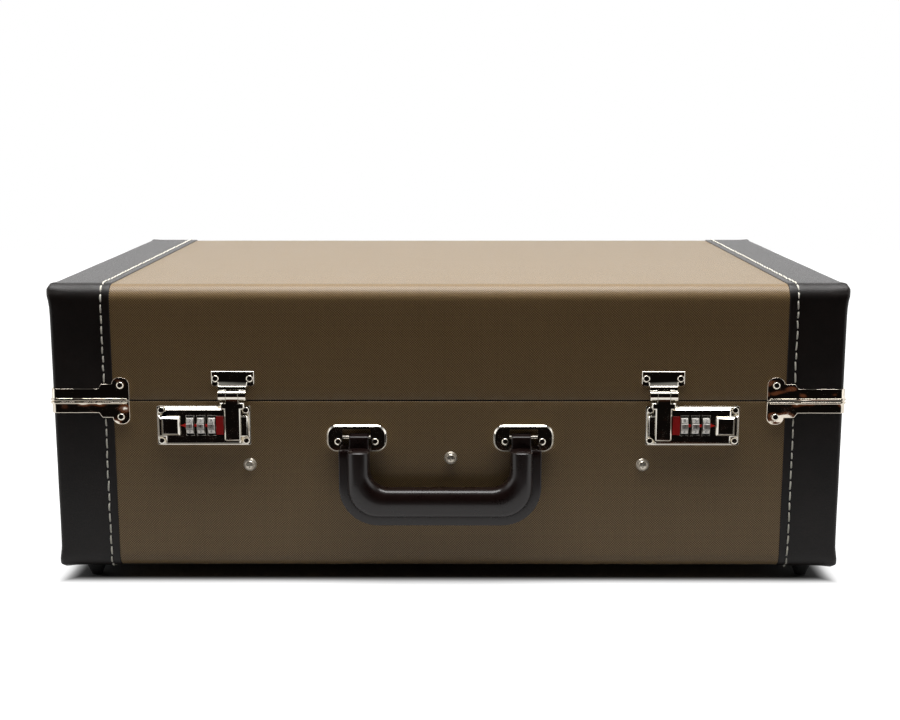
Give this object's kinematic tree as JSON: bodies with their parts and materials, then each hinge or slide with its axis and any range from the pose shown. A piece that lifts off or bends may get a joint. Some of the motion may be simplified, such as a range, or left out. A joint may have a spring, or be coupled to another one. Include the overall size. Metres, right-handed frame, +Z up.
{
  "type": "hard carrying case",
  "caption": "Cloth and leather covered wooden case with a hinged lid, combination hasp locks, a drop handle and a foam insert for a microphone outfit.",
  "frame": {"origin": "middle of the whole case, its fittings included, on the plane of its feet", "axes": "+X to the right seen from the front, +Y from the front to the hinges, +Z up"},
  "size_m": [0.5654, 0.3722, 0.2168],
  "materials": {
    "tweed_cloth": "matte",
    "black_leather": "satin",
    "plywood": "matte",
    "plush_lining": "matte",
    "foam": "matte",
    "nickel": "polished",
    "steel": "satin",
    "wheel_metal": "satin",
    "red_enamel": "gloss",
    "grip_plastic": "satin",
    "foot_rubber": "matte"
  },
  "bodies": {
    "base": {"base_shell": "plywood", "base_cloth": "tweed_cloth", "base_leather_left": "black_leather", "base_leather_right": "black_leather", "base_lining": "plush_lining", "lip_frame": "plywood", "foam_insert": "foam", "front_rail": "plywood", "base_brackets_left": "nickel", "base_brackets_right": "nickel", "base_bracket_rivets": "nickel", "front_screws": "steel", "front_cup_washers": "nickel", "feet": "foot_rubber", "foot_screws": "steel", "rear_base_leaves": "nickel", "rear_hinge_pins": "steel", "rear_base_rivets": "nickel", "lock_plate_left": "nickel", "lock_plate_right": "nickel", "lock_works_cases": "steel", "lock_axles": "steel", "lock_flags": "red_enamel", "lock_rivets": "nickel", "handle_plates": "nickel", "handle_pins": "steel", "handle_rivets": "nickel"},
    "lid": {"lid_shell": "plywood", "lid_cloth": "tweed_cloth", "lid_leather_left": "black_leather", "lid_leather_right": "black_leather", "lid_lining": "plush_lining", "lid_pad": "foam", "lid_brackets_left": "nickel", "lid_brackets_right": "nickel", "lid_bracket_rivets": "nickel", "rear_lid_leaves": "nickel", "rear_lid_rivets": "nickel", "hasp_top_plates": "nickel", "hasp_top_rivets": "nickel", "hasp_pins": "steel"},
    "handle": {"handle_grip": "grip_plastic", "handle_core": "steel"},
    "hasp_left": {"hasp_left": "nickel", "hasp_staple_left": "steel"},
    "slide_left": {"slide_button_left": "nickel", "slide_bolt_left": "steel", "slide_spring_left": "steel"},
    "wheel_1_left": {"dial_1_left": "wheel_metal"},
    "wheel_2_left": {"dial_2_left": "wheel_metal"},
    "wheel_3_left": {"dial_3_left": "wheel_metal"},
    "hasp_right": {"hasp_right": "nickel", "hasp_staple_right": "steel"},
    "slide_right": {"slide_button_right": "nickel", "slide_bolt_right": "steel", "slide_spring_right": "steel"},
    "wheel_1_right": {"dial_1_right": "wheel_metal"},
    "wheel_2_right": {"dial_2_right": "wheel_metal"},
    "wheel_3_right": {"dial_3_right": "wheel_metal"}
  },
  "joints": [
    {"name": "lid_hinge", "type": "hinge", "parent": "base", "child": "lid", "pos_m": [0, 0.18265, 0.134], "axis": [-1, 0, 0], "range_deg": [0, 105]},
    {"name": "handle_hinge", "type": "hinge", "parent": "base", "child": "handle", "pos_m": [-0.0055, -0.16945, 0.1082], "axis": [-1, 0, 0], "range_deg": [0, 105]},
    {"name": "hasp_left_hinge", "type": "hinge", "parent": "lid", "child": "hasp_left", "pos_m": [-0.15215, -0.17035, 0.1385], "axis": [-1, 0, 0], "range_deg": [0, 120]},
    {"name": "slide_left_travel", "type": "slide", "parent": "base", "child": "slide_left", "axis": [-1, 0, 0], "range_m": [0, 0.0035], "stiffness_N_per_m": 200, "deforming": ["slide_spring_left"]},
    {"name": "wheel_1_left_spin", "type": "hinge", "parent": "base", "child": "wheel_1_left", "pos_m": [-0.1671, -0.16785, 0.117], "axis": [1, 0, 0], "continuous": true},
    {"name": "wheel_2_left_spin", "type": "hinge", "parent": "base", "child": "wheel_2_left", "pos_m": [-0.17475, -0.16785, 0.117], "axis": [1, 0, 0], "continuous": true},
    {"name": "wheel_3_left_spin", "type": "hinge", "parent": "base", "child": "wheel_3_left", "pos_m": [-0.1824, -0.16785, 0.117], "axis": [1, 0, 0], "continuous": true},
    {"name": "hasp_right_hinge", "type": "hinge", "parent": "lid", "child": "hasp_right", "pos_m": [0.15215, -0.17035, 0.1385], "axis": [-1, 0, 0], "range_deg": [0, 120]},
    {"name": "slide_right_travel", "type": "slide", "parent": "base", "child": "slide_right", "axis": [1, 0, 0], "range_m": [0, 0.0035], "stiffness_N_per_m": 200, "deforming": ["slide_spring_right"]},
    {"name": "wheel_1_right_spin", "type": "hinge", "parent": "base", "child": "wheel_1_right", "pos_m": [0.1671, -0.16785, 0.117], "axis": [1, 0, 0], "continuous": true},
    {"name": "wheel_2_right_spin", "type": "hinge", "parent": "base", "child": "wheel_2_right", "pos_m": [0.17475, -0.16785, 0.117], "axis": [1, 0, 0], "continuous": true},
    {"name": "wheel_3_right_spin", "type": "hinge", "parent": "base", "child": "wheel_3_right", "pos_m": [0.1824, -0.16785, 0.117], "axis": [1, 0, 0], "continuous": true}
  ]
}
